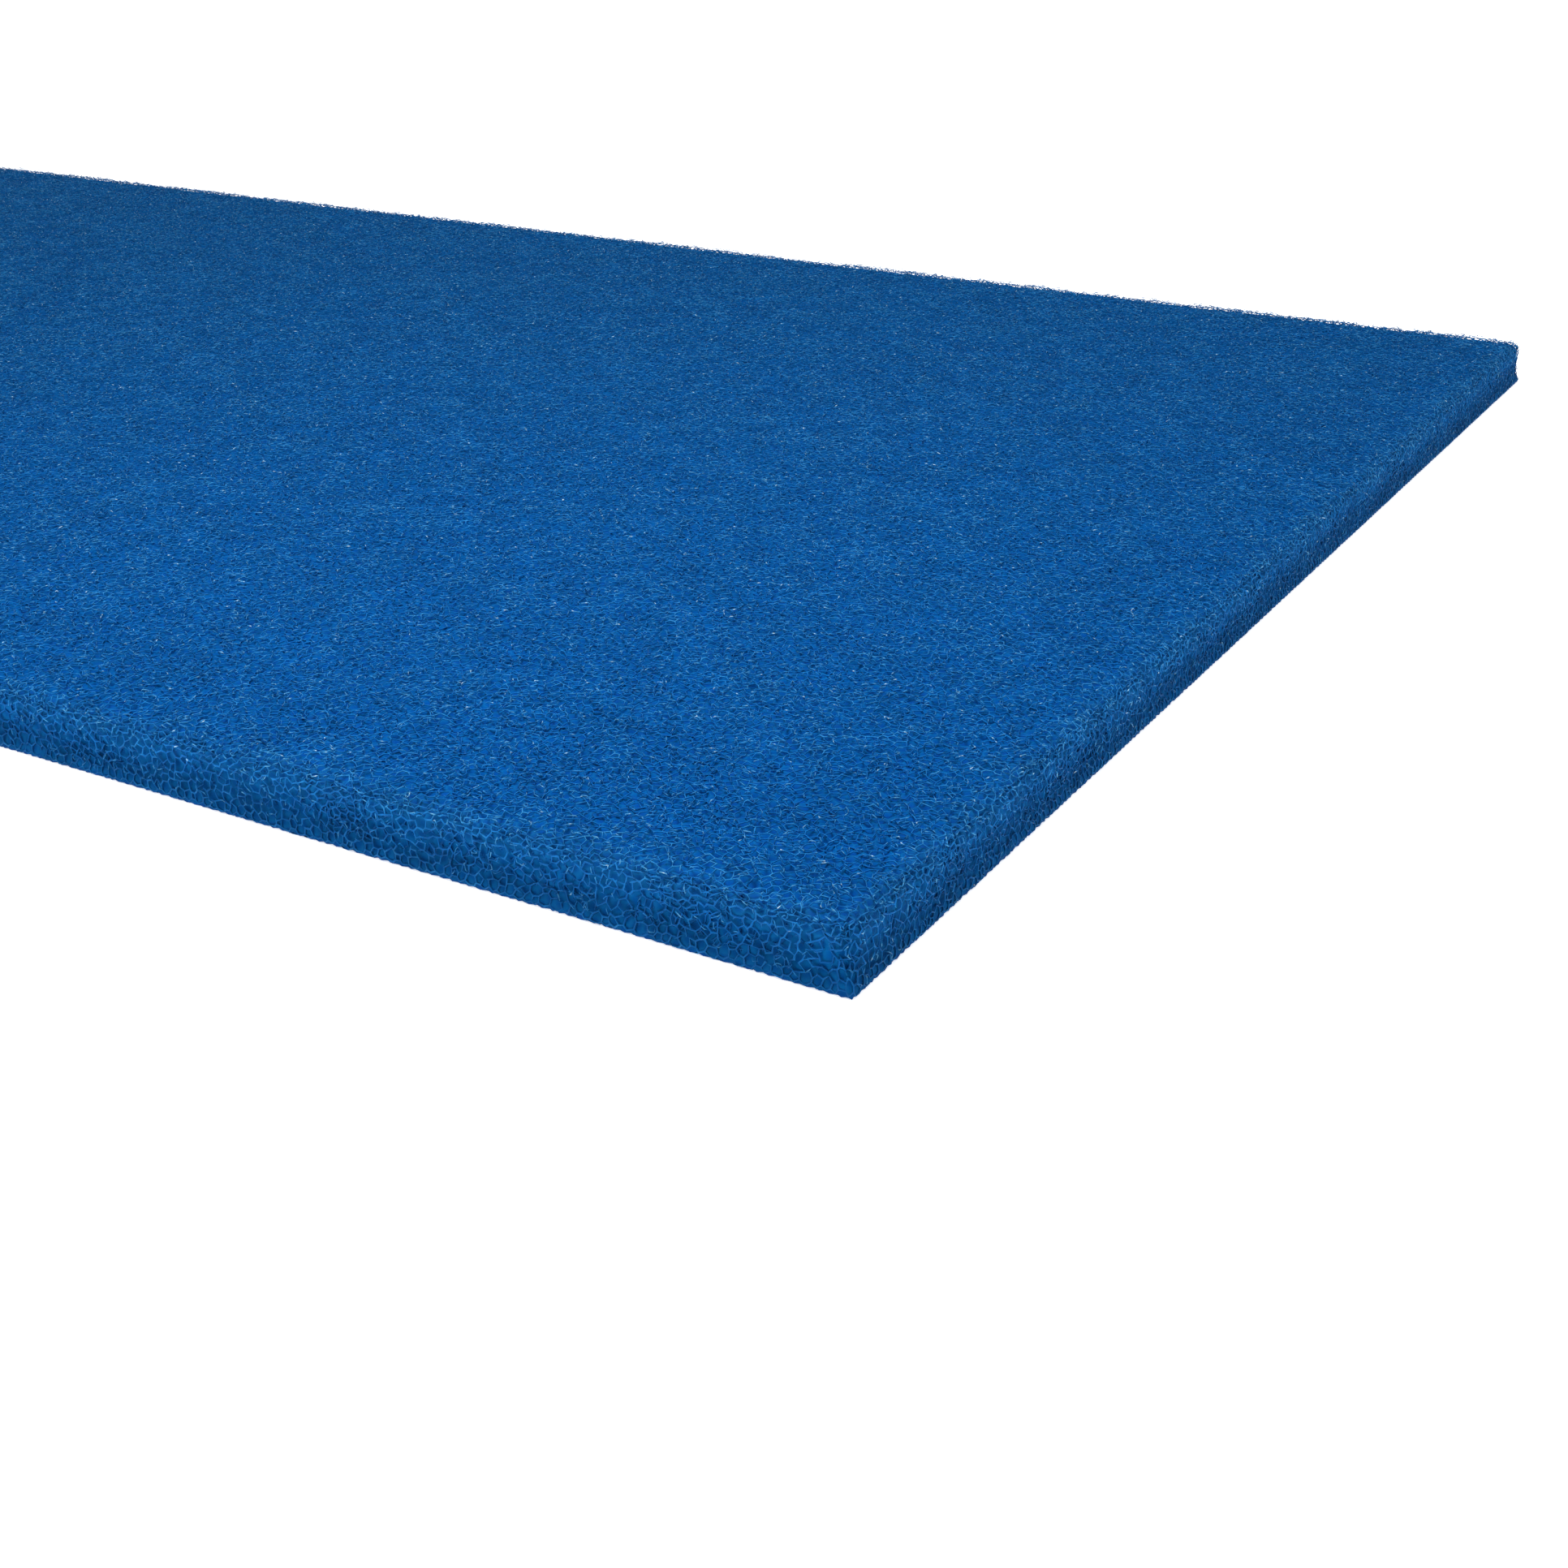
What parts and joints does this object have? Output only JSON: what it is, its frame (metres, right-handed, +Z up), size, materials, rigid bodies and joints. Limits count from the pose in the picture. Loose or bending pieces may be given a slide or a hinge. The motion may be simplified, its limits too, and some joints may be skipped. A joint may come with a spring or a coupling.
{
  "type": "filter foam sheet",
  "caption": "Flat rectangular sheet of coarse blue open-cell filter foam, cut to size or laid whole in a pond or aquarium filter to strain water.",
  "frame": {"origin": "centre of the underside, on the surface the sheet lies on", "axes": "+X along the sheet's length, +Y along its width, +Z up through its thickness"},
  "size_m": [2, 1, 0.03],
  "materials": {
    "foam": "matte"
  },
  "bodies": {
    "root": {"foam_sheet": "foam"}
  },
  "joints": []
}
